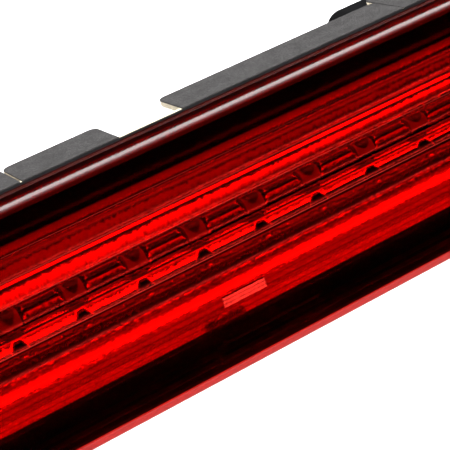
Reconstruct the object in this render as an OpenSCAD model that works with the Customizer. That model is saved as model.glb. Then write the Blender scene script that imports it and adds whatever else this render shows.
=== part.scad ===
// High-mounted third brake light: a long red bar that is fixed to a panel by two rear studs.
// +X runs along the bar, +Z is up and the lens faces -Y. The origin is midway between the
// two studs, on the plane where the seats behind the lamp meet the panel.
// Depths are measured back from the lens face, towards +Y.

/* [Lamp] */
// Length of the lens face along the bar
face_l = 410; // [402:1:430]
// Height of the lens face
face_h = 61; // [60:0.5:62]
// Corner radius of the lens face
face_r = 14; // [12:0.5:16]
// Depth from the lens face to the mounting plane
lamp_d = 28; // [28:0.5:32]
// Depth from the lens face to the back of the connector box
box_d = 38; // [36:0.5:44]

/* [Lens] */
// Radius that rounds the lens's front edge
fillet_r = 3; // [2.5:0.25:4]
// Thickness of the lens's front plate, between the flutes
lens_t = 2.4; // [2:0.1:2.6]
// Thickness of the lens's side wall
wall_t = 2.2; // [1.9:0.1:2.6]
// How far the lens's foot stands out past its face
flange_out = 0.35; // [0.3:0.05:0.6]
// Height of one flute on the inside of the lens
flute_pitch = 5.2; // [4.6:0.1:5.3]
// How far a flute stands up from the plate
flute_rise = 0.7; // [0.4:0.1:1]

/* [Window] */
// Length of the opening in the black mask
window_l = 386; // [384:0.5:387]
// Height of the opening in the black mask
window_h = 41.3; // [40:0.1:41.5]

/* [Lights] */
// Distance from one light-emitting diode to the next
led_pitch = 16; // [15.5:0.1:16]
// Number of light-emitting diodes
led_n = 24; // [20:2:24]
// Width of a diode's square body
led_w = 5; // [4:0.1:5.2]

/* [Fixing] */
// Distance between the two studs
stud_span = 300; // [260:1:330]
// Radius of a stud
stud_r = 2.5; // [2.5:0.25:3]
// Length of a stud behind the mounting plane
stud_l = 16; // [12:1:25]

/* [Hidden] */
$fn = 64;
FLUTES = 5;
flute_mid_z = 6.6;                     // height of the middle flute
flute_foot = 0.1;                      // step at the foot of the outermost flutes
join = 0.4;                            // overlap that makes two shapes of one piece into one

// Depths of the layers behind the lens face
foot_d = 4.4;                          // front of the lens's foot
rim_d = 5.6;                           // back of the foot, front of the housing's rim
seat_d = 7.4;                          // front of the foam strips
rib_d = 8.6;                           // end of the lens's rib in the housing's channel
floor_d = 9.4;                         // floor of that channel
lip_d = 6.2;                           // front of the channel's inner lip
mask_d = 8.2;                          // front of the black mask
window_low = 1.2;                      // how far the mask's opening sits below the middle
mask_t = 1.2;
ledge_d = 10.8;                        // back of the channel's floor
board_d = 17.5;                        // front of the circuit board
board_t = 1.6;
wing_d = 24;                           // back of the housing on both sides of the connector box
skin_t = 1.6;                          // thickness of the housing's walls

// Outlines, as distances outward from the edge of the lens face
lip_out = 0.3;                         // housing's rim
foam_in = -0.95;                       // underside of the foam strips
channel_out = -1.6;
channel_in = -3.7;
rib_gap = 0.15;                        // clearance beside the lens's rib
lip_in = -4.6;                         // inside of the channel's inner lip
body_out = -6.4;                       // outside of the housing's body
box_out = -3;                          // outside of the connector box, above and below
mirror_out = -8.2;                     // outside of the reflector

// Reflector
mirror_t = 1.2;
slope_z = 10.5;                        // where the sloped sides end
slope_d = 13.5;                        // depth there
ridge_foot_z = 8.4;                    // outer foot of the ridge beside the diodes
ridge_z = 5.3;                         // crest of the ridge
ridge_d = 10.9;                        // depth of the crest
trough_z = 4.2;                        // half width of the trough that the diodes stand in
trough_d = 15.9;                       // floor of the trough
hole_r = 3.9;                          // hole for a diode in the trough's floor

// Diodes
led_t = 1.6;
dome_r = 1.9;

// Board
board_l = led_n * led_pitch + 4;
board_h = 22;
screw_x = [-176, 0, 176];
screw_z = 8.4;
screw_r = 1.3;
head_r = 2.6;
head_t = 1.5;
post_r = 3.4;

// Foam strips: start, end and depth of each tooth on one side of the middle, then the middle
teeth = [[100.9, 40.4, 20.6], [140.4, 116.9, 20.6], [186, 140.8, 20.6]];
middle_tooth = [40.2, 24.8];           // half length and depth
strip_l = 372;
strip_d = 1.4;                         // width of the part that joins the teeth
core_t = 1.3;
coat_t = 0.3;
tooth_r = 2;
rest_in = 3.2;                         // how far a rest stops short of its tooth's ends
rest_back = 1.6;

// Connector box and socket
box_l = 90;
box_r = 5;
socket_l = 17;
socket_h = 12;
socket_t = 1.5;
socket_end = 50;
collar_t = 1.6;
collar_out = 2.5;
ring_t = 1;
blade_x = 3.7;
blade_w = 0.8;
blade_h = 1.6;

// Vent
vent_x = -27;
vent_r = 4;
vent_hole = 1.4;

// Stud
boss_r = 7;
collar_r = stud_r + 0.5;               // thicker length that the boss and the seal hold
stud_head_r = 5;
stud_head_t = 2.4;
stud_head_d = 20.4;

// Turns a shape drawn in X and Z, and raised along its own Z, so that it runs back from a depth
module at_depth(d) {
    translate([0, d - lamp_d, 0]) rotate([90, 0, 0]) mirror([0, 0, 1]) children();
}

module round_rect(l, h, r) {
    square([l - 2 * r, h], center = true);
    square([l, h - 2 * r], center = true);
    for (x = [-1, 1], y = [-1, 1])
        translate([x * (l / 2 - r), y * (h / 2 - r)]) circle(r);
}

// The lens face's outline, moved outward
module outline(out) {
    round_rect(face_l + 2 * out, face_h + 2 * out, face_r + out);
}

module slab(out, d0, d1) {
    at_depth(d0) linear_extrude(d1 - d0) outline(out);
}

// Carries a profile round the lens face's outline. The profile's x is the distance out from
// the centre of a corner, so face_r is the face's own edge, and its y is depth.
module round_edge() {
    cx = face_l / 2 - face_r;
    cz = face_h / 2 - face_r;
    at_depth(0) {
        for (i = [0:3])
            translate([(i == 0 || i == 3 ? 1 : -1) * cx, (i < 2 ? 1 : -1) * cz, 0])
                rotate([0, 0, 90 * i]) rotate_extrude(angle = 90) children();
        for (turn = [0, 180]) rotate([0, 0, turn]) {
            translate([cx, 0, 0]) rotate([90, 0, 0])
                linear_extrude(2 * cz, center = true) children();
            translate([0, cz, 0]) rotate([90, 0, 90])
                linear_extrude(2 * cx, center = true) children();
        }
    }
}

// A rectangle of an edge profile, between two outward distances and two depths
module band(out0, out1, d0, d1) {
    translate([face_r + out0, d0]) square([out1 - out0, d1 - d0]);
}

// Places a shape at each diode
module each_led() {
    for (i = [0:led_n - 1])
        translate([(i - (led_n - 1) / 2) * led_pitch, 0, 0]) children();
}

module lens_edge() {
    band(-wall_t, 0, fillet_r, rim_d);
    band(-fillet_r - 2 * join, -fillet_r, 0, lens_t);
    intersection() {
        translate([face_r - fillet_r, fillet_r]) circle(fillet_r);
        band(-fillet_r, 0, 0, fillet_r);
    }
    band(channel_in + rib_gap, flange_out, foot_d, rim_d);
    band(channel_in + rib_gap, channel_out - rib_gap, foot_d, rib_d);
}

// One flute's section: x is height and y is depth
module flute_section() {
    arc_r = (pow(flute_pitch / 2, 2) + pow(flute_rise, 2)) / (2 * flute_rise);
    intersection() {
        translate([0, lens_t + flute_foot + flute_rise - arc_r]) circle(arc_r);
        translate([-flute_pitch / 2, lens_t - join])
            square([flute_pitch, flute_foot + flute_rise + join]);
    }
}

module outer_lens() {
    pad_x = -102.4;
    pad_z = -12.8;
    color([0.75, 0.02, 0.02, 0.7]) {
        round_edge() lens_edge();
        slab(-fillet_r - join, 0, lens_t);
        at_depth(0) rotate([90, 0, 90]) linear_extrude(window_l + 4, center = true)
            for (i = [0:FLUTES - 1])
                translate([flute_mid_z + (i - (FLUTES - 1) / 2) * flute_pitch, 0])
                    flute_section();
        translate([pad_x, lens_t - 0.3 - lamp_d, pad_z]) cube([11.4, 1.6, 2.5], center = true);
    }
}

module lens_seal() {
    color("black") round_edge() band(channel_in, channel_out, rib_d, floor_d);
}

module mask_frame() {
    color([0.06, 0.06, 0.06]) difference() {
        slab(lip_in - rib_gap, mask_d, mask_d + mask_t);
        translate([0, 0, -window_low]) at_depth(mask_d - 1) linear_extrude(5)
            round_rect(window_l, window_h, 4);
    }
}

// Section of the reflector, with height as x and depth as y
module mirror_section() {
    top_z = face_h / 2 + mirror_out;
    front_d = mask_d + mask_t;
    for (s = [-1, 1]) scale([s, 1]) polygon([
        [top_z, front_d], [top_z, front_d + 2], [top_z - mirror_t, front_d + 2],
        [slope_z, slope_d + mirror_t], [trough_z + mirror_t, slope_d + mirror_t],
        [trough_z + mirror_t, trough_d + mirror_t], [-join, trough_d + mirror_t],
        [-join, trough_d], [trough_z, trough_d],
        [ridge_z - 0.3, ridge_d], [ridge_z + 0.3, ridge_d], [ridge_foot_z, slope_d],
        [slope_z, slope_d], [window_h / 2 + 0.2 - s * window_low, front_d]
    ]);
}

module reflector() {
    end_x = face_l / 2 + mirror_out;
    front_d = mask_d + mask_t;
    color([0.85, 0.86, 0.88]) difference() {
        union() {
            at_depth(0) rotate([90, 0, 90]) linear_extrude(2 * end_x - 2 * mirror_t, center = true)
                mirror_section();
            for (s = [-1, 1]) translate([s * (end_x - mirror_t), front_d + 3.4 - lamp_d, 0])
                cube([2 * mirror_t, 6.8, face_h + 2 * mirror_out - 12], center = true);
            for (x = screw_x, z = [-1, 1])
                translate([x + 8, 0, z * screw_z]) at_depth(slope_d + join)
                    cylinder(h = board_d - slope_d - join, r = 1.6);
        }
        at_depth(slope_d) each_led() cylinder(h = 8, r = hole_r);
    }
}

// Height of the foam's underside from the middle of the lamp
function foam_z() = face_h / 2 + foam_in;

// A tooth's outline, with its two back corners rounded
module tooth(x0, x1, d1, grow = 0) {
    translate([x0 - grow, seat_d - lamp_d])
        square([x1 - x0 + 2 * grow, d1 - seat_d - tooth_r]);
    translate([x0 - grow + tooth_r, seat_d - lamp_d])
        square([x1 - x0 + 2 * grow - 2 * tooth_r, d1 - seat_d]);
    for (x = [x0 - grow + tooth_r, x1 + grow - tooth_r])
        translate([x, d1 - tooth_r - lamp_d]) circle(tooth_r);
}

module teeth_outline() {
    for (s = [0, 1]) mirror([s, 0]) for (t = teeth) tooth(t[1], t[0], t[2]);
    tooth(-middle_tooth[0], middle_tooth[0], middle_tooth[1]);
}

module foam_core() {
    translate([0, 0, foam_z()]) linear_extrude(core_t) {
        translate([-strip_l / 2, seat_d - lamp_d]) square([strip_l, strip_d]);
        teeth_outline();
    }
}

module foam_coat() {
    translate([0, 0, foam_z() + core_t]) linear_extrude(coat_t) teeth_outline();
}

module foam_core_top() {
    color([0.9, 0.87, 0.78]) foam_core();
}

module foam_coat_top() {
    color([0.36, 0.35, 0.35]) foam_coat();
}

module foam_core_bottom() {
    color([0.9, 0.87, 0.78]) mirror([0, 0, 1]) foam_core();
}

module foam_coat_bottom() {
    color([0.36, 0.35, 0.35]) mirror([0, 0, 1]) foam_coat();
}

// A ledge on ribs that carries one foam tooth, from the body's wall out to the foam
module rest(x0, x1, d1) {
    ribs = ceil((x1 - x0) / 14);
    step = (x1 - x0 - skin_t) / ribs;
    base_z = face_h / 2 + body_out - join;
    back = d1 - rest_back - ledge_d + join;
    translate([x0, ledge_d - join - lamp_d, foam_z() - skin_t]) cube([x1 - x0, back, skin_t]);
    for (i = [0:ribs])
        translate([x0 + i * step, ledge_d - join - lamp_d, base_z])
            cube([skin_t, back, foam_z() - base_z - join]);
}

module rests() {
    for (up = [0, 1], side = [0, 1]) mirror([0, 0, up]) mirror([side, 0, 0])
        for (t = teeth) rest(max(t[1] + rest_in, box_l / 2), t[0] - rest_in, t[2]);
    for (up = [0, 1]) mirror([0, 0, up])
        translate([-middle_tooth[0] + rest_in, ledge_d - join - lamp_d, face_h / 2 + box_out - join])
            cube([2 * (middle_tooth[0] - rest_in), 12, foam_in - box_out + join]);
}

module stud() {
    translate([0, 0, stud_head_d]) cylinder(h = stud_head_t, r = stud_head_r, $fn = 6);
    translate([0, 0, stud_head_d]) cylinder(h = lamp_d - stud_head_d, r = collar_r);
    translate([0, 0, lamp_d - 1]) cylinder(h = stud_l, r = stud_r);
    translate([0, 0, lamp_d + stud_l - 1]) cylinder(h = 1, r1 = stud_r, r2 = stud_r - 0.8);
}

module each_stud() {
    for (s = [-1, 1]) translate([s * stud_span / 2, 0, 0]) at_depth(0) children();
}

module housing_edge() {
    band(channel_out, lip_out, rim_d, seat_d);
    band(channel_out, foam_in, seat_d - join, ledge_d);
    band(lip_in, channel_in, lip_d, ledge_d);
    band(body_out - skin_t, foam_in, floor_d, ledge_d);
    band(body_out - skin_t, body_out, floor_d, wing_d);
}

module connector_box(out, r) {
    h = face_h + 2 * box_out;
    round_rect(box_l + 2 * out, h + 2 * out, r);
}

module housing_shell() {
    difference() {
        union() {
            round_edge() housing_edge();
            slab(body_out - join, wing_d - skin_t, wing_d);
            at_depth(ledge_d - join) linear_extrude(box_d - ledge_d + join)
                connector_box(0, box_r);
            rests();
        }
        at_depth(floor_d) linear_extrude(ledge_d - floor_d + 1)
            round_rect(box_l - 2 * skin_t, face_h + 2 * body_out - 2 * skin_t, box_r);
        at_depth(ledge_d + 1) linear_extrude(box_d - ledge_d - 1 - skin_t)
            connector_box(-skin_t, box_r - skin_t);
        at_depth(floor_d) linear_extrude(wing_d - skin_t - floor_d)
            round_rect(box_l + 10, face_h + 2 * body_out - 2 * skin_t, 1);
    }
}

module housing() {
    post_d = board_d + board_t;
    color([0.09, 0.09, 0.1]) difference() {
        union() {
            housing_shell();
            for (x = screw_x, z = [-1, 1]) translate([x, 0, z * screw_z]) at_depth(post_d)
                cylinder(h = (x == 0 ? box_d : wing_d) - post_d - join, r = post_r);
            each_stud() translate([0, 0, stud_head_d - 0.6])
                cylinder(h = lamp_d - stud_head_d + 0.6, r = boss_r);
            translate([vent_x, 0, 0]) at_depth(box_d - join) cylinder(h = 2 + join, r = vent_r);
        }
        for (x = screw_x, z = [-1, 1]) translate([x, 0, z * screw_z]) at_depth(post_d - 1)
            cylinder(h = 6, r = screw_r);
        each_stud() {
            stud();
            translate([0, 0, lamp_d - 1]) cylinder(h = 2, r = boss_r - 2);
        }
        translate([vent_x, 0, 0]) at_depth(box_d - 2 * skin_t) cylinder(h = 8, r = vent_hole);
        at_depth(box_d - 2 * skin_t) linear_extrude(8) round_rect(socket_l, socket_h, 2);
    }
}

module circuit_board() {
    color([0.1, 0.35, 0.18]) difference() {
        at_depth(board_d) linear_extrude(board_t) round_rect(board_l, board_h, 1.5);
        for (x = screw_x, z = [-1, 1]) translate([x, 0, z * screw_z]) at_depth(board_d - 1)
            cylinder(h = board_t + 2, r = screw_r + 0.3);
        for (s = [-1, 1]) translate([s * blade_x, board_d + board_t / 2 - lamp_d, -6])
            cube([blade_w, board_t + 2, blade_h], center = true);
    }
}

module led_bodies() {
    color("white") each_led() difference() {
        translate([0, board_d - led_t / 2 - lamp_d, 0]) cube([led_w, led_t, led_w], center = true);
        at_depth(board_d - led_t - join) cylinder(h = join + 0.5, r = dome_r);
    }
}

module led_domes() {
    color([0.95, 0.9, 0.6]) each_led() at_depth(board_d - led_t + 0.5) mirror([0, 0, 1]) {
        cylinder(h = 0.5, r = dome_r);
        translate([0, 0, 0.5]) intersection() {
            sphere(r = dome_r);
            translate([-dome_r, -dome_r, -join]) cube([2 * dome_r, 2 * dome_r, dome_r + join]);
        }
    }
}

// Low fillets of solder at the four feet of each diode
module solder_joints() {
    color([0.75, 0.75, 0.78]) each_led() for (x = [-1, 1], z = [-1, 1])
        translate([x * (led_w / 2 + 0.45), 0, z * 1.4]) at_depth(board_d) mirror([0, 0, 1])
            translate([-0.45, -0.6, 0]) cube([0.9, 1.2, 0.35]);
}

// Parts on the back of the board
module on_back(x, z) {
    translate([x, 0, z]) at_depth(board_d + board_t) children();
}

module chip(l, h, t) {
    translate([-l / 2, -h / 2, 0]) cube([l, h, t]);
}

module resistors() {
    color([0.1, 0.1, 0.1]) for (i = [0:11], z = [-3.5, 3.5])
        on_back((i - 5.5) * 2 * led_pitch + led_pitch / 2, z) chip(3.2, 1.6, 0.6);
}

module diodes() {
    color([0.15, 0.15, 0.16]) for (x = [20, 28, 36]) on_back(x, 3.5) chip(4.6, 2.8, 2.2);
}

module capacitor() {
    color([0.3, 0.32, 0.36]) on_back(-22, -4) {
        chip(6.6, 6.6, 1);
        translate([0, 0, 1]) cylinder(h = 4.4, r = 3.15);
    }
}

module regulator() {
    color([0.12, 0.12, 0.13]) on_back(-38, 2) {
        chip(6.5, 6, 2.3);
        translate([0, 4.4, 0]) chip(5.2, 3, 0.6);
        for (x = [-2.3, 0, 2.3]) translate([x, -4.2, 0]) chip(0.8, 2.6, 0.6);
    }
}

module board_screws() {
    color([0.7, 0.7, 0.72]) for (x = screw_x, z = [-1, 1])
        translate([x, 0, z * screw_z]) difference() {
            union() {
                at_depth(board_d - head_t) cylinder(h = head_t, r = head_r);
                at_depth(board_d - join) cylinder(h = board_t + 4.8 + join, r = screw_r);
            }
            for (turn = [0, 90]) translate([0, board_d - head_t - lamp_d, 0])
                rotate([0, turn, 0]) cube([3.2, 1.4, 0.6], center = true);
        }
}

module blade_bar(x) {
    front = board_d - 1;
    translate([x - blade_w / 2, front - lamp_d, -6 - blade_h / 2])
        cube([blade_w, 8.4, blade_h]);
    translate([x - blade_w / 2, front + 7 - lamp_d, -6 - blade_h / 2])
        cube([blade_w, 1.6, 6 + blade_h]);
    translate([x - blade_w / 2, front + 7 - lamp_d, -blade_h / 2])
        cube([blade_w, socket_end - 3 - front - 7, blade_h]);
}

module terminal_blades() {
    color([0.8, 0.75, 0.55]) for (s = [-1, 1]) blade_bar(s * blade_x);
}

// The socket's base, through which the blades pass, and its open shroud behind
module connector_socket() {
    base_d = box_d - 3;
    collar_d = box_d + ring_t;
    color([0.12, 0.12, 0.13]) difference() {
        union() {
            at_depth(base_d) linear_extrude(socket_end - base_d)
                round_rect(socket_l - 0.3, socket_h - 0.3, 1.85);
            at_depth(collar_d) linear_extrude(collar_t)
                round_rect(socket_l + 2 * collar_out, socket_h + 2 * collar_out, 3);
            translate([0, socket_end - 6 - lamp_d, socket_h / 2]) cube([5, 6, 2.4], center = true);
        }
        at_depth(collar_d + collar_t) linear_extrude(socket_end)
            round_rect(socket_l - 0.3 - 2 * socket_t, socket_h - 0.3 - 2 * socket_t, 1);
        for (s = [-1, 1]) translate([s * blade_x, box_d - lamp_d, 0])
            cube([blade_w, 20, blade_h], center = true);
    }
}

module connector_seal() {
    color([0.75, 0.25, 0.1]) at_depth(box_d) linear_extrude(ring_t) difference() {
        round_rect(socket_l + 2 * collar_out - 1, socket_h + 2 * collar_out - 1, 2.6);
        round_rect(socket_l - 0.3, socket_h - 0.3, 1.85);
    }
}

module mounting_studs() {
    color([0.78, 0.78, 0.8]) each_stud() stud();
}

module stud_seals() {
    color([0.1, 0.1, 0.1]) each_stud() translate([0, 0, lamp_d - 1]) difference() {
        cylinder(h = 1, r = boss_r - 2);
        translate([0, 0, -1]) cylinder(h = 3, r = collar_r);
    }
}

module vent_membrane() {
    color([0.9, 0.9, 0.9]) translate([vent_x, 0, 0]) at_depth(box_d - skin_t - 0.3)
        cylinder(h = 0.3, r = 3);
}

module vent_cap() {
    color([0.15, 0.15, 0.16]) translate([vent_x, 0, 0]) at_depth(box_d) difference() {
        cylinder(h = 4.2, r = vent_r + 1.2);
        translate([0, 0, -1]) cylinder(h = 3, r = vent_r);
        cylinder(h = 3, r = vent_r - 1);
        for (turn = [0, 90]) rotate([0, 0, turn]) cube([14, 1.6, 2], center = true);
    }
}

outer_lens();
lens_seal();
mask_frame();
reflector();
housing();
circuit_board();
led_bodies();
led_domes();
solder_joints();
resistors();
diodes();
capacitor();
regulator();
board_screws();
terminal_blades();
connector_socket();
connector_seal();
mounting_studs();
stud_seals();
foam_core_top();
foam_coat_top();
foam_core_bottom();
foam_coat_bottom();
vent_membrane();
vent_cap();
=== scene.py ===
"""Looks of the third brake light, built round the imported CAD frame.

The bar runs along X, the lens faces -Y and Z is up. Depths are measured back from the lens's
face, towards +Y, as in the CAD source. Sizes are in millimetres until place() turns them to metres.
"""

import math

import bmesh
import bpy
import numpy as np
from mathutils import Matrix, Vector, noise


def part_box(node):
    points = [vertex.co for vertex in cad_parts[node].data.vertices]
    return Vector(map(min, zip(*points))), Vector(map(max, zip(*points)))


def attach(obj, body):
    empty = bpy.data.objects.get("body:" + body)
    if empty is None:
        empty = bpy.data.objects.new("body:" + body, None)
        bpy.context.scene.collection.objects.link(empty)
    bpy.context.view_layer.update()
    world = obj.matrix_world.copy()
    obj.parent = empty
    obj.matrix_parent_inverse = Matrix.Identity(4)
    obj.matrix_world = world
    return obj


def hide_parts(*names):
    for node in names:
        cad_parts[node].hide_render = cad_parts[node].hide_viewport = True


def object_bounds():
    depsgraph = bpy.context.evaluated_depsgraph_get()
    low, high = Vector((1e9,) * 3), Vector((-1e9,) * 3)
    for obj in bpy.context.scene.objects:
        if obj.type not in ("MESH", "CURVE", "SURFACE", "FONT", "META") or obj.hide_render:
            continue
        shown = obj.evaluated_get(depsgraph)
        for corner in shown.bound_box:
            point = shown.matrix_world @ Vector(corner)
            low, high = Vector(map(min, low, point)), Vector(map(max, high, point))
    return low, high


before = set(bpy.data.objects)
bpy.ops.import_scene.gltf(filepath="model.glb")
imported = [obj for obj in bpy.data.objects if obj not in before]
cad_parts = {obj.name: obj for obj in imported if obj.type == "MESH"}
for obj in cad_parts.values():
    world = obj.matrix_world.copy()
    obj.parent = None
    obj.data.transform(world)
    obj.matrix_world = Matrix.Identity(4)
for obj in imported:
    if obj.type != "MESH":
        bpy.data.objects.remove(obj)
cad_low, cad_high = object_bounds()

MM = 0.001
FRONT_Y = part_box("outer_lens")[0][1]  # the lens's face, in metres
LAMP_D = -FRONT_Y / MM  # depth from the face to the mounting plane

# Lens face
FACE_L = 410.0
FACE_H = 61.0
FACE_R = 14.0
FILLET = 3.0
LENS_T = 2.4
WALL_T = 2.2
FOOT_OUT = 0.35
FOOT_D = 4.4
RIM_D = 5.6
RIB_D = 8.6
RIB_OUT = 1.75  # the rib behind the lens's wall, measured inward from the outline
RIB_IN = 3.55
RIB_EDGE = 0.2
CORNER_R = 1.0  # rounding between the lens's face and its wall, on the inside

# Flutes on the inside of the lens
FLUTES = 5
FLUTE_PITCH = 5.2
FLUTE_RISE = 0.7
FLUTE_MID_Z = 6.6
FLUTE_L = 390.0

# Mask and reflector
WINDOW_L = 386.0
WINDOW_H = 41.3
WINDOW_LOW = 1.2
WINDOW_R = 4.0
MASK_INSET = 4.75  # from the lens's outline to the mask's edge
MASK_EDGE = 0.15
MASK_D = 8.2
MASK_T = 1.2
SLOPE_Z = 10.5
SLOPE_D = 13.5
RIDGE_FOOT_Z = 8.4
RIDGE_Z = 5.3
RIDGE_D = 10.9
TROUGH_Z = 4.2
TROUGH_D = 15.9
HOLE_R = 3.9
KINK_Z = 17.6
BEND_Z = 16.2
MIRROR_TOP_Z = 19.65  # where the reflector meets the mask, above and below the middle
MIRROR_FOOT_Z = 22.05
MIRROR_Z = [0, TROUGH_Z, RIDGE_Z - 0.3, RIDGE_Z + 0.3, 7.2, RIDGE_FOOT_Z, 9.4, SLOPE_Z]
MIRROR_D = [TROUGH_D, TROUGH_D, RIDGE_D, RIDGE_D, 12.4, 13.02, SLOPE_D, SLOPE_D, MASK_D + MASK_T]
MIRROR_STEP = 0.4  # between the reflector's columns of points
MIRROR_T = 0.8
LED_PITCH = 16.0

# Rows of facets on the reflector: lower limit, upper limit, number and tilt
FACETS = [
    (-MIRROR_FOOT_Z, -KINK_Z, 4, 0.36), (-KINK_Z, -SLOPE_Z, 6, 0.33),
    (-SLOPE_Z, -RIDGE_FOOT_Z, 1, -0.1), (-TROUGH_Z, -3.2, 1, 0.6), (1.5, TROUGH_Z, 4, -0.15),
    (SLOPE_Z, BEND_Z, 4, 0.13), (BEND_Z, MIRROR_TOP_Z, 3, 0.318),
]

# Comb on the ridge by each diode, small domes beyond it and slots between the diodes
COMB_L = 5.0
COMB_X = -0.5
COMB_FADE = 1.5
COMB_PITCH = 1.15
COMB_DEEP = 0.35
DOME_X = (-2.6, 0.0, 2.6)
DOME_Z = 9.5
DOME_R = 1.0
DOME_RISE = 0.8
SLOT_L = 2.2
SLOT_DEEP = 0.5
SOFT_EDGE = 0.3

# Bright pad and the outline of an insert on the inside of the lens
PAD_X = (-108.1, -96.7)
PAD_Z = (-14.05, -11.55)
PAD_D = 2.87
PAD_STEP = 0.41
PAD_TEETH = 3
INSERT_X = (-113.0, -85.0)
INSERT_Z = (-26.6, -21.9)
INSERT_RISE = 0.12

# Foam strips
SEAT_D = 7.4
STRIP_D = 1.4
FOAM_Z = 29.55
CORE_T = 1.3
COAT_T = 0.3
FOAM_EDGE = 0.22
TOOTH_R = 2.0
TEETH = [  # start, end and depth of each tooth
    (-186, -140.8, 20.6), (-140.4, -116.9, 20.6), (-100.9, -40.4, 20.6), (-40.2, 40.2, 24.8),
    (40.4, 100.9, 20.6), (116.9, 140.4, 20.6), (140.8, 186, 20.6),
]

# Studs
STUD_X = 150.0
STUD_R = 2.5
STUD_END_D = 44.0
STUD_HEAD_D = 20.4
STUD_HEAD_T = 2.4
STUD_HEAD_R = 5.0
STUD_COLLAR = 0.5
STUD_TIP = 0.8
THREAD_PITCH = 0.8
THREAD_DEEP = 0.45


# ---------------------------------------------------------------- mesh helpers


def place(x, depth, z):
    """A point given along the bar, back from the lens's face and up, in metres."""
    return Vector((x * MM, FRONT_Y + depth * MM, z * MM))


def new_piece(name, points, faces, material, replaces=(), sharp=40):
    """Makes a mesh object, shades it smooth but for sharp edges, and rides it on the lamp."""
    mesh = bpy.data.meshes.new(name)
    mesh.from_pydata([tuple(p) for p in points], [], faces)
    return finish_piece(name, mesh, material, replaces, sharp)


def finish_piece(name, mesh, material, replaces=(), sharp=40):
    """Shades a finished mesh, puts it in the scene on the lamp and hides the CAD nodes it stands for.
    """
    mesh.validate()
    bm = bmesh.new()
    bm.from_mesh(mesh)
    bmesh.ops.recalc_face_normals(bm, faces=bm.faces)
    bm.to_mesh(mesh)
    bm.free()
    for poly in mesh.polygons:
        poly.use_smooth = True
    mesh.set_sharp_from_angle(angle=math.radians(sharp))
    piece = bpy.data.objects.new(name, mesh)
    bpy.context.collection.objects.link(piece)
    piece.data.materials.append(material)
    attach(piece, "root")
    if replaces:
        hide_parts(*replaces)
    return piece


def outline(out, steps=14):
    """Points of the lens face's rounded outline, moved outward, counter-clockwise from +X."""
    cx = FACE_L / 2 - FACE_R
    cz = FACE_H / 2 - FACE_R
    points = []
    for i, (sx, sz) in enumerate([(1, 1), (-1, 1), (-1, -1), (1, -1)]):
        for k in range(steps + 1):
            a = math.radians(90 * i + 90 * k / steps)
            r = FACE_R + out
            points.append((sx * cx + r * math.cos(a), sz * cz + r * math.sin(a)))
    return points


def rings(profile, steps=14):
    """Vertices and side faces of a profile of (out, depth) pairs carried round the outline."""
    points, faces = [], []
    count = 4 * (steps + 1)
    for out, depth in profile:
        points += [place(x, depth, z) for x, z in outline(out, steps)]
    for j in range(len(profile) - 1):
        for i in range(count):
            k = (i + 1) % count
            faces.append((j * count + i, j * count + k, (j + 1) * count + k, (j + 1) * count + i))
    return points, faces, count


def arc(cx, cy, r, a0, a1, steps):
    """Points of an arc in a profile, angles in degrees."""
    return [
        (cx + r * math.cos(math.radians(a0 + (a1 - a0) * k / steps)),
         cy + r * math.sin(math.radians(a0 + (a1 - a0) * k / steps)))
        for k in range(steps + 1)
    ]


# ---------------------------------------------------------------- material helpers


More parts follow.
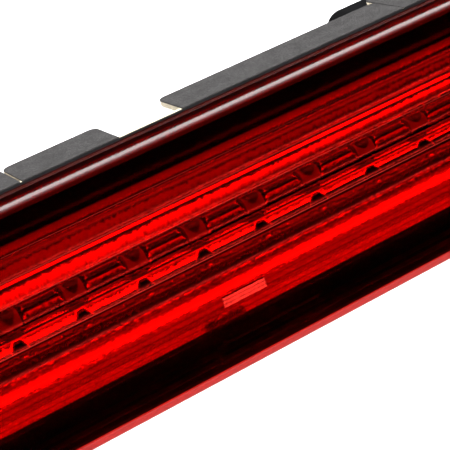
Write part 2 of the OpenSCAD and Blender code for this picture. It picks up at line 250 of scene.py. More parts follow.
class Shader:
    """A Principled material with short calls for the procedural nodes it is built from."""

    def __init__(self, name, **values):
        self.material = bpy.data.materials.new(name)
        self.material.use_nodes = True
        self.tree = self.material.node_tree
        self.tree.nodes.clear()
        self.out = self.tree.nodes.new("ShaderNodeOutputMaterial")
        self.bsdf = self.tree.nodes.new("ShaderNodeBsdfPrincipled")
        self.link(self.bsdf.outputs[0], self.out.inputs["Surface"])
        for key, value in values.items():
            self.set(key, value)
        self.coords = self.tree.nodes.new("ShaderNodeTexCoord").outputs["Object"]

    def socket(self, key):
        return self.bsdf.inputs[key.replace("_", " ")]

    def set(self, key, value):
        if isinstance(value, tuple) and len(value) == 3:
            value = (*value, 1)
        self.socket(key).default_value = value

    def link(self, a, b):
        self.tree.links.new(a, b)

    def node(self, kind, **values):
        made = self.tree.nodes.new(kind)
        for key, value in values.items():
            if hasattr(made, key):
                setattr(made, key, value)
            else:
                made.inputs[key.replace("_", " ")].default_value = value
        return made

    def stretched(self, scale):
        mapping = self.node("ShaderNodeMapping")
        mapping.inputs["Scale"].default_value = scale
        self.link(self.coords, mapping.inputs["Vector"])
        return mapping.outputs[0]

    def noise(self, scale, detail=3.0, stretch=None, rough=0.55):
        made = self.node("ShaderNodeTexNoise", Scale=scale, Detail=detail, Roughness=rough)
        self.link(self.stretched(stretch) if stretch else self.coords, made.inputs["Vector"])
        return made.outputs["Fac"]

    def ramp(self, value, stops):
        made = self.node("ShaderNodeValToRGB")
        elements = made.color_ramp.elements
        while len(elements) < len(stops):
            elements.new(0.5)
        for element, (at, colour) in zip(elements, stops):
            element.position = at
            element.color = (*colour, 1) if isinstance(colour, tuple) else (colour, colour, colour, 1)
        self.link(value, made.inputs["Fac"])
        return made.outputs["Color"]

    def spread(self, value, low, high):
        """Maps a 0 to 1 value to a range, as a number."""
        made = self.node("ShaderNodeMapRange")
        made.inputs["To Min"].default_value = low
        made.inputs["To Max"].default_value = high
        self.link(value, made.inputs["Value"])
        return made.outputs[0]

    def by_height(self, stops):
        """A grey level that changes with height, from (mm, level) pairs that go up."""
        split = self.node("ShaderNodeSeparateXYZ")
        self.link(self.coords, split.inputs[0])
        low, high = stops[0][0], stops[-1][0]
        made = self.node("ShaderNodeMapRange")
        made.inputs["From Min"].default_value = low * MM
        made.inputs["From Max"].default_value = high * MM
        self.link(split.outputs["Z"], made.inputs["Value"])
        return self.ramp(made.outputs[0], [((z - low) / (high - low), level) for z, level in stops])

    def times(self, a, b):
        made = self.node("ShaderNodeMix", data_type="RGBA", blend_type="MULTIPLY")
        made.inputs["Factor"].default_value = 1.0
        self.link(a, made.inputs[6])
        self.link(b, made.inputs[7])
        return made.outputs[2]

    def math(self, operation, a, b):
        made = self.node("ShaderNodeMath", operation=operation)
        for i, value in enumerate((a, b)):
            if isinstance(value, (int, float)):
                made.inputs[i].default_value = value
            else:
                self.link(value, made.inputs[i])
        return made.outputs[0]

    def bump(self, height, distance, strength=1.0):
        made = self.node("ShaderNodeBump", Strength=strength, Distance=distance)
        self.link(height, made.inputs["Height"])
        self.link(made.outputs[0], self.bsdf.inputs["Normal"])

    def feed(self, key, value):
        self.link(value, self.socket(key))


def moulded_plastic(name, dark, light, rough, grain, distance, ior=1.5):
    """Matte or gloss moulded plastic: cloudy colour, uneven gloss and a fine grain."""
    s = Shader(name, IOR=ior)
    clouds = s.noise(60.0, 4.0)
    s.feed("Base_Color", s.ramp(clouds, [(0.3, dark), (0.7, light)]))
    s.feed("Roughness", s.spread(s.noise(190.0, 5.0), *rough))
    s.bump(s.noise(grain, 2.0), distance)
    return s.material


def lens_red():
    s = Shader("lens_red", IOR=1.49, Roughness=0.02)
    s.set("Transmission_Weight", 1.0)
    tint = s.noise(9.0, 2.0, stretch=(0.3, 1.0, 1.0))
    s.feed("Base_Color", s.ramp(tint, [(0.3, (0.86, 0.022, 0.016)), (0.7, (0.93, 0.03, 0.02))]))
    s.feed("Roughness", s.spread(s.noise(240.0, 3.0), 0.01, 0.035))
    s.bump(s.noise(70.0, 1.0, stretch=(0.12, 1.0, 1.0)), 0.00002, 0.25)
    return s.material


def mask_black():
    s = Shader("mask_black", IOR=1.5)
    dark, light = (0.0015, 0.0012, 0.0012), (0.004, 0.003, 0.003)
    s.feed("Base_Color", s.ramp(s.noise(80.0, 4.0), [(0.3, dark), (0.7, light)]))
    s.feed("Roughness", s.spread(s.noise(300.0, 4.0), 0.12, 0.22))
    s.bump(s.noise(1400.0, 2.0), 0.00001)
    return s.material


def mirror_metal():
    """Metallised plastic with painted shade: its colour is made darker on the lower slope, along a
    line above the diodes and near the top."""
    s = Shader("reflector_metal", Metallic=1.0)
    film = s.ramp(s.noise(120.0, 4.0), [(0.3, (0.80, 0.79, 0.78)), (0.7, (0.92, 0.91, 0.90))])
    streaks = s.ramp(s.noise(700.0, 3.0, stretch=(0.02, 1.0, 1.0)), [(0.3, 0.7), (0.7, 1.0)])
    # Painted shade: darker bands of colour by height stand in for shade on the reflector.
    level = s.by_height([
        (-22.1, 0.5), (-19, 0.6), (-18.4, 0.36), (-17.8, 0.36), (-17.3, 0.6), (-14, 0.55),
        (-11, 0.6), (-9, 0.55), (-8, 1.0), (8.15, 1.0), (8.2, 0.3), (8.6, 0.3), (8.7, 1.0),
        (10.2, 1.0), (11, 0.85), (14, 0.85), (15, 1.0), (16.1, 1.0), (16.3, 0.42), (21, 0.42),
    ])
    s.feed("Base_Color", s.times(s.times(film, streaks), level))
    rough = s.by_height([
        (-22, 0.16), (-10, 0.12), (1.0, 0.12), (1.4, 0.16), (4.2, 0.16), (4.6, 0.14), (21, 0.14),
    ])
    s.feed("Roughness", s.times(rough, s.ramp(s.noise(400.0, 3.0), [(0.3, 0.8), (0.7, 1.0)])))
    waves = s.math("ADD", s.noise(90.0, 2.0, stretch=(0.5, 1.0, 1.0)), s.noise(900.0, 2.0))
    s.bump(waves, 0.00006, 0.6)
    return s.material


def weld_seam_with_painted_glow():
    """The rough seam where the lens is welded to the housing, with painted light on it: its colour is
    lighter low down and darker high up, and a painted red glow on the underside stands for the
    bright lower edge of the lens."""
    s = Shader("lens_weld_painted_glow", IOR=1.45)
    seam = s.ramp(s.noise(500.0, 4.0), [(0.3, (0.9, 0.6, 0.56)), (0.7, (1.0, 0.8, 0.76))])
    # Painted light: the seam's colour is lighter towards the bottom and darker towards the top.
    level = s.by_height([(-31, 1.0), (-20, 1.0), (20, 0.12), (31, 0.12)])
    s.feed("Base_Color", s.times(seam, level))
    s.feed("Roughness", s.spread(s.noise(300.0, 3.0), 0.6, 0.9))
    # Painted glow: the seam emits red light on the underside, though it is no lamp.
    s.set("Emission_Color", (1.0, 0.1, 0.08))
    glow = s.by_height([(-31, 0.42), (-29, 0.34), (-25, 0.0), (31, 0.0)])
    s.feed("Emission_Strength", glow)
    s.bump(s.noise(1200.0, 3.0), 0.00005)
    return s.material


def lens_print_painted_light():
    """Black print on the inside of the lens's edge, with painted light that makes it a lighter dark red
    near the top.
    """
    s = Shader("lens_print_painted_light", IOR=1.45)
    ink = s.ramp(s.noise(300.0, 4.0), [(0.3, (0.06, 0.012, 0.012)), (0.7, (0.12, 0.02, 0.02))])
    # Painted light: the print's colour is lighter near the top edge and near black lower down.
    level = s.by_height([
        (-31, 0.05), (-20, 0.05), (24, 0.1), (27.6, 0.25), (28.3, 1.0), (31, 1.0),
    ])
    s.feed("Base_Color", s.times(ink, level))
    s.feed("Roughness", s.spread(s.noise(300.0, 3.0), 0.5, 0.8))
    s.bump(s.noise(1500.0, 2.0), 0.00002)
    return s.material


def foam(name, dark, light):
    s = Shader(name, IOR=1.35)
    cells = s.node("ShaderNodeTexVoronoi", Scale=2600.0)
    s.link(s.coords, cells.inputs["Vector"])
    pores = cells.outputs["Distance"]
    mix = s.math("MULTIPLY", pores, s.noise(300.0, 4.0))
    s.feed("Base_Color", s.ramp(mix, [(0.05, dark), (0.45, light)]))
    s.feed("Roughness", s.spread(s.noise(500.0, 3.0), 0.75, 0.95))
    s.bump(pores, 0.00012, 0.6)
    return s.material


def metal(name, dark, light, rough, scratch=(1.0, 1.0, 1.0)):
    s = Shader(name, Metallic=1.0)
    s.feed("Base_Color", s.ramp(s.noise(260.0, 5.0), [(0.3, dark), (0.7, light)]))
    s.feed("Roughness", s.spread(s.noise(900.0, 4.0, stretch=scratch), *rough))
    s.bump(s.noise(1500.0, 3.0, stretch=scratch), 0.00002)
    return s.material


def resin():
    s = Shader("led_resin", IOR=1.52, Roughness=0.05)
    s.set("Transmission_Weight", 0.9)
    dark, light = (0.95, 0.9, 0.7), (1.0, 0.97, 0.85)
    s.feed("Base_Color", s.ramp(s.noise(700.0, 2.0), [(0.3, dark), (0.7, light)]))
    s.bump(s.noise(600.0, 1.0), 0.00001)
    return s.material


# ---------------------------------------------------------------- pieces


def flute_depth(z, centre):
    """Depth of one flute's arc on the inside of the lens."""
    radius = ((FLUTE_PITCH / 2) ** 2 + FLUTE_RISE**2) / (2 * FLUTE_RISE)
    return LENS_T + 0.1 + FLUTE_RISE - radius + math.sqrt(radius**2 - (z - centre) ** 2)


def let_in(points, faces, xs, row):
    """Adds a section of (depth, height) pairs drawn out along the bar to the inside of the lens.
    Returns the four corners where it meets the plate."""
    base = len(points)
    for x in xs:
        points += [place(x, d, z) for d, z in row]
    n = len(row)
    for j in range(n - 1):
        faces.append((base + j, base + j + 1, base + n + j + 1, base + n + j))
    corner = len(points)
    points += [place(x, LENS_T, z) for x in xs for z in (row[0][1], row[-1][1])]
    faces.append(tuple([corner, corner + 1] + [base + j for j in range(n - 1, -1, -1)]))
    faces.append(tuple([corner + 3, corner + 2] + [base + n + j for j in range(n)]))
    faces.append((corner, corner + 2, base + n, base))
    faces.append((corner + 1, corner + 3, base + 2 * n - 1, base + n - 1))
    return [corner, corner + 1, corner + 3, corner + 2]


def raised_line(points, faces):
    """Adds the fine raised outline of a mould insert to the inside of the lens."""
    base = len(points)
    for inset, rise in ((0, 0), (0.06, INSERT_RISE), (0.3, INSERT_RISE), (0.36, 0)):
        x0, x1 = INSERT_X[0] + inset, INSERT_X[1] - inset
        z0, z1 = INSERT_Z[0] + inset, INSERT_Z[1] - inset
        points += [place(x, LENS_T + rise, z) for x, z in ((x0, z0), (x0, z1), (x1, z1), (x1, z0))]
    for j in range(3):
        for i in range(4):
            k = (i + 1) % 4
            a, b = base + 4 * j, base + 4 * j + 4
            faces.append((a + i, a + k, b + k, b + i))
    faces.append(tuple(base + 12 + i for i in range(4)))
    return [base + i for i in range(4)]


def make_lens(glass, weld, print_black, bright):
    """The lens as one closed shell: face, wall, foot and rib carried round the outline, and the
    fluted field let into the inside of the face."""
    inner = LENS_T + CORNER_R
    clear = [(-FILLET - 0.08, 0)]
    clear += [(-FILLET + x, FILLET + y) for x, y in arc(0, 0, FILLET, -90, 0, 12)]
    clear += [
        (0, FILLET + 0.08), (0, FOOT_D - 0.08), (0.06, FOOT_D), (FOOT_OUT - 0.06, FOOT_D + 0.02),
        (FOOT_OUT, FOOT_D + 0.1), (FOOT_OUT, RIM_D - 0.06), (FOOT_OUT - 0.06, RIM_D),
    ]
    welded = [(-RIB_OUT, RIM_D)]
    hidden = [
        (-RIB_OUT, RIB_D - RIB_EDGE), (-RIB_OUT - RIB_EDGE, RIB_D), (-RIB_IN + RIB_EDGE, RIB_D),
        (-RIB_IN, RIB_D - RIB_EDGE), (-RIB_IN, FOOT_D + RIB_EDGE), (-RIB_IN + RIB_EDGE, FOOT_D),
        (-WALL_T, FOOT_D),
    ]
    hidden += [
        (-WALL_T - CORNER_R + x, inner + y) for x, y in arc(0, 0, CORNER_R, 0, -90, 6)
    ]
    profile = clear + welded + hidden + [(-WALL_T - CORNER_R - 0.08, LENS_T)]
    points, faces, count = rings(profile)
    glass_look, weld_look, print_look, bright_look = range(4)
    bands = [glass_look] * (len(clear) - 1) + [weld_look]
    bands += [print_look] * (len(profile) - 1 - len(bands))
    looks = [look for look in bands for _ in range(count)]
    faces.append(tuple(range(count)))
    last = (len(profile) - 1) * count

    half = FLUTES * FLUTE_PITCH / 2
    steps = 20
    row = []
    for i in range(FLUTES):
        centre = FLUTE_MID_Z - half + (i + 0.5) * FLUTE_PITCH
        low = centre - FLUTE_PITCH / 2
        for k in range(steps if i < FLUTES - 1 else steps + 1):
            z = low + k / steps * FLUTE_PITCH
            row.append((flute_depth(z, centre), z))
    holes = [let_in(points, faces, (-FLUTE_L / 2, FLUTE_L / 2), row)]
    looks += [glass_look] * (len(faces) - len(looks))
    tooth = (PAD_Z[1] - PAD_Z[0]) / PAD_TEETH
    pad_row = []
    for k in range(PAD_TEETH):
        low = PAD_Z[0] + k * tooth
        pad_row += [(PAD_D - PAD_STEP, low + 0.01), (PAD_D, low + tooth)]
    holes.append(let_in(points, faces, PAD_X, pad_row))
    looks += [bright_look] * (len(faces) - len(looks))
    holes.append(raised_line(points, faces))

    mesh = bpy.data.meshes.new("red_lens")
    mesh.from_pydata([tuple(p) for p in points], [], faces)
    for poly, look in zip(mesh.polygons, looks):
        poly.material_index = look
    bm = bmesh.new()
    bm.from_mesh(mesh)
    bm.verts.ensure_lookup_table()
    ring = [bm.verts[last + i] for i in range(count)]
    rim = [bm.edges.get((ring[i], ring[(i + 1) % count])) for i in range(count)]
    for corners in holes:
        hole = [bm.verts[i] for i in corners]
        rim += [bm.edges.get((hole[i], hole[(i + 1) % 4])) for i in range(4)]
    bmesh.ops.triangle_fill(bm, use_beauty=True, use_dissolve=False, edges=rim)
    bm.to_mesh(mesh)
    bm.free()
    lens = finish_piece("red_lens", mesh, glass, ["outer_lens"], 30)
    # The weld seam carries painted light and a painted glow; the edge print carries painted light.
    lens.data.materials.append(weld)
    lens.data.materials.append(print_black)
    lens.data.materials.append(bright)
    return lens


def make_mask(material):
    """The black frame: a flat plate with a rolled edge round the window."""
    def window(grow, steps=8):
        r = WINDOW_R + grow
        cx, cz = WINDOW_L / 2 - WINDOW_R, WINDOW_H / 2 - WINDOW_R
        return [
            (sx * cx + r * math.cos(math.radians(90 * i + 90 * k / steps)),
             sz * cz + r * math.sin(math.radians(90 * i + 90 * k / steps)) - WINDOW_LOW)
            for i, (sx, sz) in enumerate([(1, 1), (-1, 1), (-1, -1), (1, -1)])
            for k in range(steps + 1)
        ]

    steps = 8
    loops = [
        (outline(-MASK_INSET, steps), MASK_D + MASK_T),
        (outline(-MASK_INSET, steps), MASK_D + MASK_EDGE),
        (outline(-MASK_INSET - MASK_EDGE, steps), MASK_D),
        (window(0.5), MASK_D), (window(0.42), MASK_D), (window(0.12), MASK_D + 0.12),
        (window(0.0), MASK_D + 0.45), (window(0.0), MASK_D + MASK_T),
    ]
    points, faces = [], []
    count = 4 * (steps + 1)
    for loop, depth in loops:
        points += [place(x, depth, z) for x, z in loop]
    for j in range(len(loops)):
        after = (j + 1) % len(loops)
        for i in range(count):
            k = (i + 1) % count
            faces.append((j * count + i, j * count + k, after * count + k, after * count + i))
    return new_piece("black_mask", points, faces, material, ["mask_frame"], 30)


def ripple(value, pitch):
    """A rounded zigzag between 0 and 1."""
    return np.abs(np.sin(np.pi * value / pitch))


def zone(value, low, high, soft=0.02):
    """1 between two limits and 0 outside them."""
    return np.clip((value - low) / soft, 0, 1) * np.clip((high - value) / soft, 0, 1)


def facets(value, low, high, count, slope):
    """Saw teeth between two limits: how far each facet tilts a surface out of its own line."""
    pitch = (high - low) / count
    along = np.mod(value - low, pitch) - pitch / 2
    return slope * along * ((value > low) & (value < high))


def mirror_depth(x, z):
    """Depth of the reflector's face: sloped sides, a ridge on each side of the diodes and the
    trough between them, with fine facets, a comb on each ridge by each diode, small domes beyond
    it and slots between the diodes."""
    a = np.abs(z)
    depth = np.where(z > 0, np.interp(a, MIRROR_Z + [MIRROR_TOP_Z], MIRROR_D),
                     np.interp(a, MIRROR_Z + [MIRROR_FOOT_Z], MIRROR_D))
    dx = (x / LED_PITCH - np.floor(x / LED_PITCH) - 0.5) * LED_PITCH
    for low, high, count, tilt in FACETS:
        depth = depth + facets(z, low, high, count, tilt)
    comb = np.clip((COMB_L - np.abs(dx - COMB_X)) / COMB_FADE, 0, 1)
    inside = zone(a, TROUGH_Z, RIDGE_Z, SOFT_EDGE)
    depth = depth + COMB_DEEP * ripple(dx, COMB_PITCH) * inside * comb
    for at in DOME_X:
        dome = np.clip(1 - ((dx - at) ** 2 + (a - DOME_Z) ** 2) / DOME_R**2, 0, 1)
        depth = depth - DOME_RISE * np.sqrt(dome)
    slot = np.clip((SLOT_L - np.abs(np.abs(dx) - LED_PITCH / 2)) / SOFT_EDGE, 0, 1)
    beyond = zone(a, RIDGE_FOOT_Z + 0.3, SLOPE_Z - 0.1, SOFT_EDGE)
    depth = depth + SLOT_DEEP * slot * beyond
    return depth, np.hypot(dx, z)


def mirror_rows():
    """Heights of the reflector's rows of points, close together where a facet turns."""
    rows = [s * z for s in (-1, 1) for z in np.arange(0, SLOPE_Z, 0.25)]
    rows += list(np.linspace(SLOPE_Z, MIRROR_TOP_Z, 40))
    for low, high, count, _ in FACETS:
        for k in range(count + 1):
            turn = low + (high - low) * k / count
            rows += [turn - 0.02, turn + 0.02]
    rows += [s * z for s in (-1, 1) for z in MIRROR_Z[1:]]
    rows = sorted(r for r in rows if -MIRROR_FOOT_Z <= r <= MIRROR_TOP_Z)
    return [r for i, r in enumerate(rows) if i == 0 or r - rows[i - 1] > 0.015]


def make_reflector(material):
    """The bright tray: one faceted sheet with a round hole for each diode, given a thickness."""
    nx = int(WINDOW_L / MIRROR_STEP) + 1
    zs = np.array(mirror_rows())
    xs = np.linspace(-WINDOW_L / 2, WINDOW_L / 2, nx)
    nz = len(zs)
    gx, gz = np.meshgrid(xs, zs, indexing="ij")
    depth, r = mirror_depth(gx, gz)
    points = [place(x, d, z) for x, d, z in zip(gx.ravel(), depth.ravel(), gz.ravel())]
    faces = []
    for i in range(nx - 1):
        for j in range(nz - 1):
            if max(r[i, j], r[i + 1, j], r[i, j + 1], r[i + 1, j + 1]) > HOLE_R:
                a, b = i * nz + j, (i + 1) * nz + j
                faces.append((a, b, b + 1, a + 1))
    piece = new_piece(
        "metallised_reflector", points, faces, material, ["reflector"], 30)
    mesh = piece.data
    bm = bmesh.new()
    bm.from_mesh(mesh)
    bmesh.ops.delete(bm, geom=[v for v in bm.verts if not v.link_faces], context="VERTS")
    for face in bm.faces:
        if face.normal.y > 0:
            face.normal_flip()
    bm.to_mesh(mesh)
    bm.free()
    thick = piece.modifiers.new("wall", "SOLIDIFY")
    thick.thickness = MIRROR_T * MM
    thick.offset = -1
    return piece


def foam_columns():
    """Places along the bar for the foam's points, each with the tooth it lies on, or None."""
    near = (0, 0.1, 0.3, 0.6, 1.0, 1.5)
    columns = []
    for i, tooth in enumerate(TEETH):
        x0, x1, _ = tooth
        inner = np.linspace(x0 + 2, x1 - 2, int((x1 - x0) / 1.6))
        xs = [x0 + n for n in near] + list(inner) + [x1 - n for n in reversed(near)]
        columns += [(x, tooth) for x in xs]
        if i < len(TEETH) - 1:
            after = TEETH[i + 1][0]
            gap = np.linspace(x1 + 0.02, after - 0.02, 2 + int((after - x1) / 2))
            columns += [(x, None) for x in gap]
    return columns


def foam_back(x, tooth):
    """Depth of the back edge of the foam at one place along the bar."""
    if tooth is None:
        return SEAT_D + STRIP_D
    inset = min(x - tooth[0], tooth[1] - x)
    if inset >= TOOTH_R:
        return tooth[2]
    return tooth[2] - TOOTH_R + math.sqrt(TOOTH_R**2 - (TOOTH_R - inset) ** 2)


def foam_shell(points, faces, columns, low, high, side):
    """A closed sheet of foam with rounded upper edges and a slightly uneven top. side is 1 for the
    strip above the lamp and -1 for the one below."""
    soft = FOAM_EDGE
    near = (0, 0.05, 0.12, FOAM_EDGE)
    base = len(points)
    tops, bottoms = [], []
    for x, tooth in columns:
        back = foam_back(x, tooth)
        inner = np.linspace(SEAT_D + 0.4, back - 0.4, 14)
        depths = [SEAT_D + n for n in near] + list(inner) + [back - n for n in reversed(near)]
        for d in depths:
            edge = min(d - SEAT_D, back - d)
            if tooth is not None and (d > SEAT_D + STRIP_D or high > FOAM_Z + CORE_T):
                edge = min(edge, x - tooth[0], tooth[1] - x)
            edge = min(max(edge, 0), soft)
            drop = soft - math.sqrt(soft**2 - (soft - edge) ** 2)
            dent = 0.03 * (1 + noise.noise(Vector((x * 0.9, d * 0.9, 7.3 * side)))) * edge / soft
            tops.append(place(x, d, side * (high - drop - dent)))
            bottoms.append(place(x, d, side * low))
    rows = len(tops) // len(columns)
    points += tops + bottoms
    under = len(tops)
    for i in range(len(columns) - 1):
        for j in range(rows - 1):
            a, b = base + i * rows + j, base + (i + 1) * rows + j
            faces.append((a, b, b + 1, a + 1))
            faces.append((under + a, under + a + 1, under + b + 1, under + b))
        for j in (0, rows - 1):
            a, b = base + i * rows + j, base + (i + 1) * rows + j
            faces.append((a, b, under + b, under + a))
    for i in (0, len(columns) - 1):
        for j in range(rows - 1):
            a = base + i * rows + j
            faces.append((a, a + 1, under + a + 1, under + a))


def make_foam(cream, grey):
    """Each foam strip: a cream core cut into teeth and a thin grey coat on every tooth."""
    columns = foam_columns()
    for side, word in ((1, "top"), (-1, "bottom")):
        points, faces = [], []
        foam_shell(points, faces, columns, FOAM_Z, FOAM_Z + CORE_T, side)
        core = new_piece(
            f"foam_strip_{word}", points, faces, cream, [f"foam_core_{word}"], 50)
        points, faces = [], []
        for tooth in TEETH:
            own = [column for column in columns if column[1] == tooth]
            foam_shell(points, faces, own, FOAM_Z + CORE_T, FOAM_Z + CORE_T + COAT_T, side)
        coat = new_piece(
            f"foam_skin_{word}", points, faces, grey, [f"foam_coat_{word}"], 50)


def stud_radius(depth, turn):
    """Radius of a stud at a depth and at an angle round it, in turns."""
    if depth <= STUD_HEAD_D + STUD_HEAD_T:
        flat = STUD_HEAD_R * math.cos(math.pi / 6)
        return flat / math.cos(2 * math.pi * (turn % (1 / 6)) - math.pi / 6)
    if depth <= LAMP_D:
        return STUD_R + STUD_COLLAR
    groove = abs(2 * ((depth / THREAD_PITCH - turn) % 1) - 1)
    left = STUD_END_D - depth
    return min(STUD_R - THREAD_DEEP * groove, STUD_R - STUD_TIP + left)


def make_studs(material):
    """Two studs with a hexagonal head, a plain collar and a helical thread."""
    step = STUD_HEAD_D + STUD_HEAD_T
    depths = [STUD_HEAD_D, step - 0.01, step + 0.01, LAMP_D - 0.01, LAMP_D + 0.01]
    depths += list(np.arange(LAMP_D + 0.1, STUD_END_D, 0.1)) + [STUD_END_D]
    count = 60
    points, faces = [], []
    for side in (-1, 1):
        base = len(points)
        for depth in depths:
            for k in range(count):
                a = 2 * math.pi * k / count
                r = stud_radius(depth, k / count)
                points.append(place(side * STUD_X + r * math.cos(a), depth, r * math.sin(a)))
        for j in range(len(depths) - 1):
            for i in range(count):
                k = (i + 1) % count
                a, b = base + j * count, base + (j + 1) * count
                faces.append((a + i, a + k, b + k, b + i))
        faces.append(tuple(base + i for i in range(count)))
        faces.append(tuple(base + (len(depths) - 1) * count + i for i in range(count)))
    return new_piece("threaded_studs", points, faces, material, ["mounting_studs"], 50)


def soften(node, width):
    """Rounds the sharp edges of a CAD node that keeps its shape."""
    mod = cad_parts[node].modifiers.new("soft_edges", "BEVEL")
    mod.width = width * MM
    mod.segments = 2
    mod.limit_method = "ANGLE"
    mod.angle_limit = math.radians(35)
    mod.use_clamp_overlap = True


def give(node, material):
    """A better material for a CAD node that keeps its shape."""
    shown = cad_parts[node]
    for slot in shown.material_slots:
        slot.material = material


# ---------------------------------------------------------------- build

red = lens_red()
black = mask_black()
housing_black = moulded_plastic(
    "housing_black", (0.003, 0.003, 0.0032), (0.007, 0.007, 0.0075), (0.3, 0.42), 1800.0, 0.00003,
    1.28)
socket_black = moulded_plastic(
    "socket_black", (0.01, 0.01, 0.012), (0.02, 0.02, 0.022), (0.4, 0.55), 2200.0, 0.00003)
chrome = mirror_metal()
board_green = moulded_plastic(
    "board_green", (0.01, 0.06, 0.025), (0.02, 0.1, 0.04), (0.3, 0.45), 900.0, 0.00002)
white_body = moulded_plastic(
    "led_white", (0.7, 0.7, 0.66), (0.85, 0.85, 0.8), (0.35, 0.5), 2000.0, 0.00001)
chip_black = moulded_plastic(
    "chip_black", (0.01, 0.01, 0.01), (0.025, 0.025, 0.025), (0.4, 0.6), 3000.0, 0.00002)
seal_black = moulded_plastic(
    "seal_black", (0.012, 0.012, 0.012), (0.03, 0.03, 0.03), (0.6, 0.8), 1500.0, 0.00004)
seal_orange = moulded_plastic(
    "seal_orange", (0.4, 0.07, 0.015), (0.55, 0.12, 0.03), (0.5, 0.7), 1500.0, 0.00003)
grey_foam = foam("foam_grey", (0.018, 0.017, 0.017), (0.045, 0.043, 0.043))
cream_foam = foam("foam_cream", (0.4, 0.34, 0.24), (0.64, 0.57, 0.44))
steel = metal("screw_steel", (0.5, 0.5, 0.5), (0.66, 0.66, 0.67), (0.2, 0.4))
zinc = metal("stud_zinc", (0.55, 0.55, 0.57), (0.72, 0.72, 0.73), (0.22, 0.42))
brass = metal("terminal_brass", (0.62, 0.5, 0.28), (0.75, 0.65, 0.4), (0.18, 0.35))
solder_metal = metal("solder", (0.55, 0.55, 0.56), (0.75, 0.75, 0.76), (0.15, 0.3))
can_metal = metal("capacitor_can", (0.5, 0.5, 0.52), (0.66, 0.66, 0.68), (0.2, 0.35))
membrane = moulded_plastic(
    "membrane_white", (0.75, 0.75, 0.74), (0.85, 0.85, 0.84), (0.8, 0.95), 4000.0, 0.00003)

# The weld seam's material has painted light and a painted red glow.
seam = weld_seam_with_painted_glow()
edge_print_painted_light = lens_print_painted_light()
pad_metal = metal("lens_pad", (0.16, 0.15, 0.15), (0.24, 0.22, 0.22), (0.12, 0.22))
make_lens(red, seam, edge_print_painted_light, pad_metal)
make_mask(black)
make_reflector(chrome)
make_foam(cream_foam, grey_foam)
make_studs(zinc)

for node, material in {
    "lens_seal": seal_black, "housing": housing_black, "circuit_board": board_green,
    "led_bodies": white_body, "led_domes": resin(), "solder_joints": solder_metal,
    "resistors": chip_black, "diodes": chip_black, "capacitor": can_metal,
    "regulator": chip_black, "board_screws": steel, "terminal_blades": brass,
    "connector_socket": socket_black, "connector_seal": seal_orange, "stud_seals": seal_black,
    "vent_membrane": membrane, "vent_cap": socket_black,
}.items():
    give(node, material)

for node, width in {
    "housing": 0.3, "connector_socket": 0.25, "vent_cap": 0.3, "led_bodies": 0.25, "circuit_board": 0.1,
    "resistors": 0.12, "diodes": 0.2, "capacitor": 0.2, "regulator": 0.15, "board_screws": 0.12,
    "terminal_blades": 0.15, "solder_joints": 0.14,
}.items():
    soften(node, width)


# ---------------------------------------------------------------- stage, light and camera

# Brightness of the surroundings by the angle round the bar, in degrees
SURROUNDINGS = [
    (-180, 2.0), (-155, 1.5), (-145, 1.3), (-116, 0.9), (-104, 0.5), (-82, 0.45), (-74, 0.7),
    (-50, 0.75), (-42, 1.2), (-35.5, 1.35), (-33.5, 0.003), (22, 0.003), (30, 0.08), (38, 0.6),
    (47, 1.9), (54, 6.0), (61, 11.0), (79, 11.0), (87, 2.0), (94, 0.02), (176, 0.003), (180, 2.0),
]


# Floor and camera, in metres
FLOOR_HALF = 3.0
FLOOR_DROP = 0.12
CAMERA_AT = (-0.2212, -0.3154, 0.1274)
CAMERA_RIGHT = (0.8384, -0.4660, -0.2812)
CAMERA_BACK = (-0.3545, -0.8596, 0.3668)
CAMERA_LENS = 121.4


def make_floor():
    """A white floor below the part, hidden from reflections and from light through the lens."""
    mesh = bpy.data.meshes.new("floor")
    z = cad_low[2] - FLOOR_DROP
    corners = [(sx * FLOOR_HALF, sz * FLOOR_HALF, z) for sx, sz in ((-1, -1), (1, -1), (1, 1), (-1, 1))]
    mesh.from_pydata(corners, [], [(0, 1, 2, 3)])
    floor = bpy.data.objects.new("floor", mesh)
    bpy.context.collection.objects.link(floor)
    s = Shader("floor_white", Roughness=0.9)
    s.feed("Base_Color", s.ramp(s.noise(3.0, 2.0), [(0.3, 0.9), (0.7, 0.94)]))
    mesh.materials.append(s.material)
    floor.visible_glossy = False
    floor.visible_transmission = False


def softbox(name, at, aim, width, height, power):
    """A soft white light, hidden from reflections and from light through the lens."""
    light = bpy.data.lights.new(name, "AREA")
    light.shape = "RECTANGLE"
    light.size = width
    light.size_y = height
    light.energy = power
    lamp = bpy.data.objects.new(name, light)
    lamp.location = at
    lamp.rotation_euler = (Vector(aim) - Vector(at)).to_track_quat("-Z", "Y").to_euler()
    lamp.visible_glossy = False
    lamp.visible_transmission = False
    bpy.context.collection.objects.link(lamp)
    return lamp


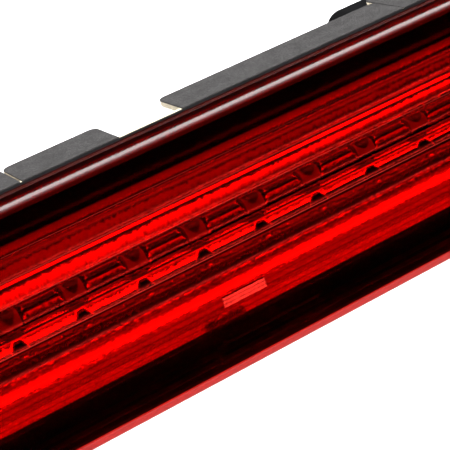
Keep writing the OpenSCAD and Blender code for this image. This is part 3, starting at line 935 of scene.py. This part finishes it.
def make_world():
    """Studio surroundings that change with the angle round the bar: 0 is straight ahead of the
    lens, 90 overhead, 180 behind and -90 below."""
    world = bpy.data.worlds.new("studio")
    bpy.context.scene.world = world
    world.use_nodes = True
    tree = world.node_tree
    tree.nodes.clear()
    out = tree.nodes.new("ShaderNodeOutputWorld")
    back = tree.nodes.new("ShaderNodeBackground")
    coords = tree.nodes.new("ShaderNodeTexCoord")
    split = tree.nodes.new("ShaderNodeSeparateXYZ")
    tree.links.new(coords.outputs["Generated"], split.inputs[0])
    ahead = tree.nodes.new("ShaderNodeMath")
    ahead.operation = "MULTIPLY"
    ahead.inputs[1].default_value = -1.0
    tree.links.new(split.outputs["Y"], ahead.inputs[0])
    angle = tree.nodes.new("ShaderNodeMath")
    angle.operation = "ARCTAN2"
    tree.links.new(split.outputs["Z"], angle.inputs[0])
    tree.links.new(ahead.outputs[0], angle.inputs[1])
    turn = tree.nodes.new("ShaderNodeMapRange")
    turn.inputs["From Min"].default_value = -math.pi
    turn.inputs["From Max"].default_value = math.pi
    tree.links.new(angle.outputs[0], turn.inputs["Value"])
    ramp = tree.nodes.new("ShaderNodeValToRGB")
    elements = ramp.color_ramp.elements
    while len(elements) < len(SURROUNDINGS):
        elements.new(0.5)
    for element, (degrees, level) in zip(elements, SURROUNDINGS):
        element.position = (degrees + 180) / 360
        element.color = (level, level, level, 1)
    tree.links.new(turn.outputs[0], ramp.inputs["Fac"])
    tree.links.new(ramp.outputs["Color"], back.inputs["Color"])
    back.inputs["Strength"].default_value = 1.0
    tree.links.new(back.outputs[0], out.inputs["Surface"])


def make_camera():
    """A camera above and to one side of the part, with a long lens."""
    data = bpy.data.cameras.new("camera")
    data.lens = CAMERA_LENS
    data.sensor_width = 36.0
    data.clip_start = 0.01
    data.clip_end = 20
    camera = bpy.data.objects.new("camera", data)
    right = Vector(CAMERA_RIGHT).normalized()
    back = Vector(CAMERA_BACK).normalized()
    up = back.cross(right).normalized()
    right = up.cross(back)
    turn = Matrix((right, up, back)).transposed().to_4x4()
    camera.matrix_world = Matrix.Translation(Vector(CAMERA_AT)) @ turn
    bpy.context.collection.objects.link(camera)
    bpy.context.scene.camera = camera


make_floor()
make_world()
softbox("wash", (0.3, 0.9, 1.2), (0.0, 0.3, 0.0), 1.5, 1.5, 30)
make_camera()
bpy.context.scene.view_settings.view_transform = "Standard"
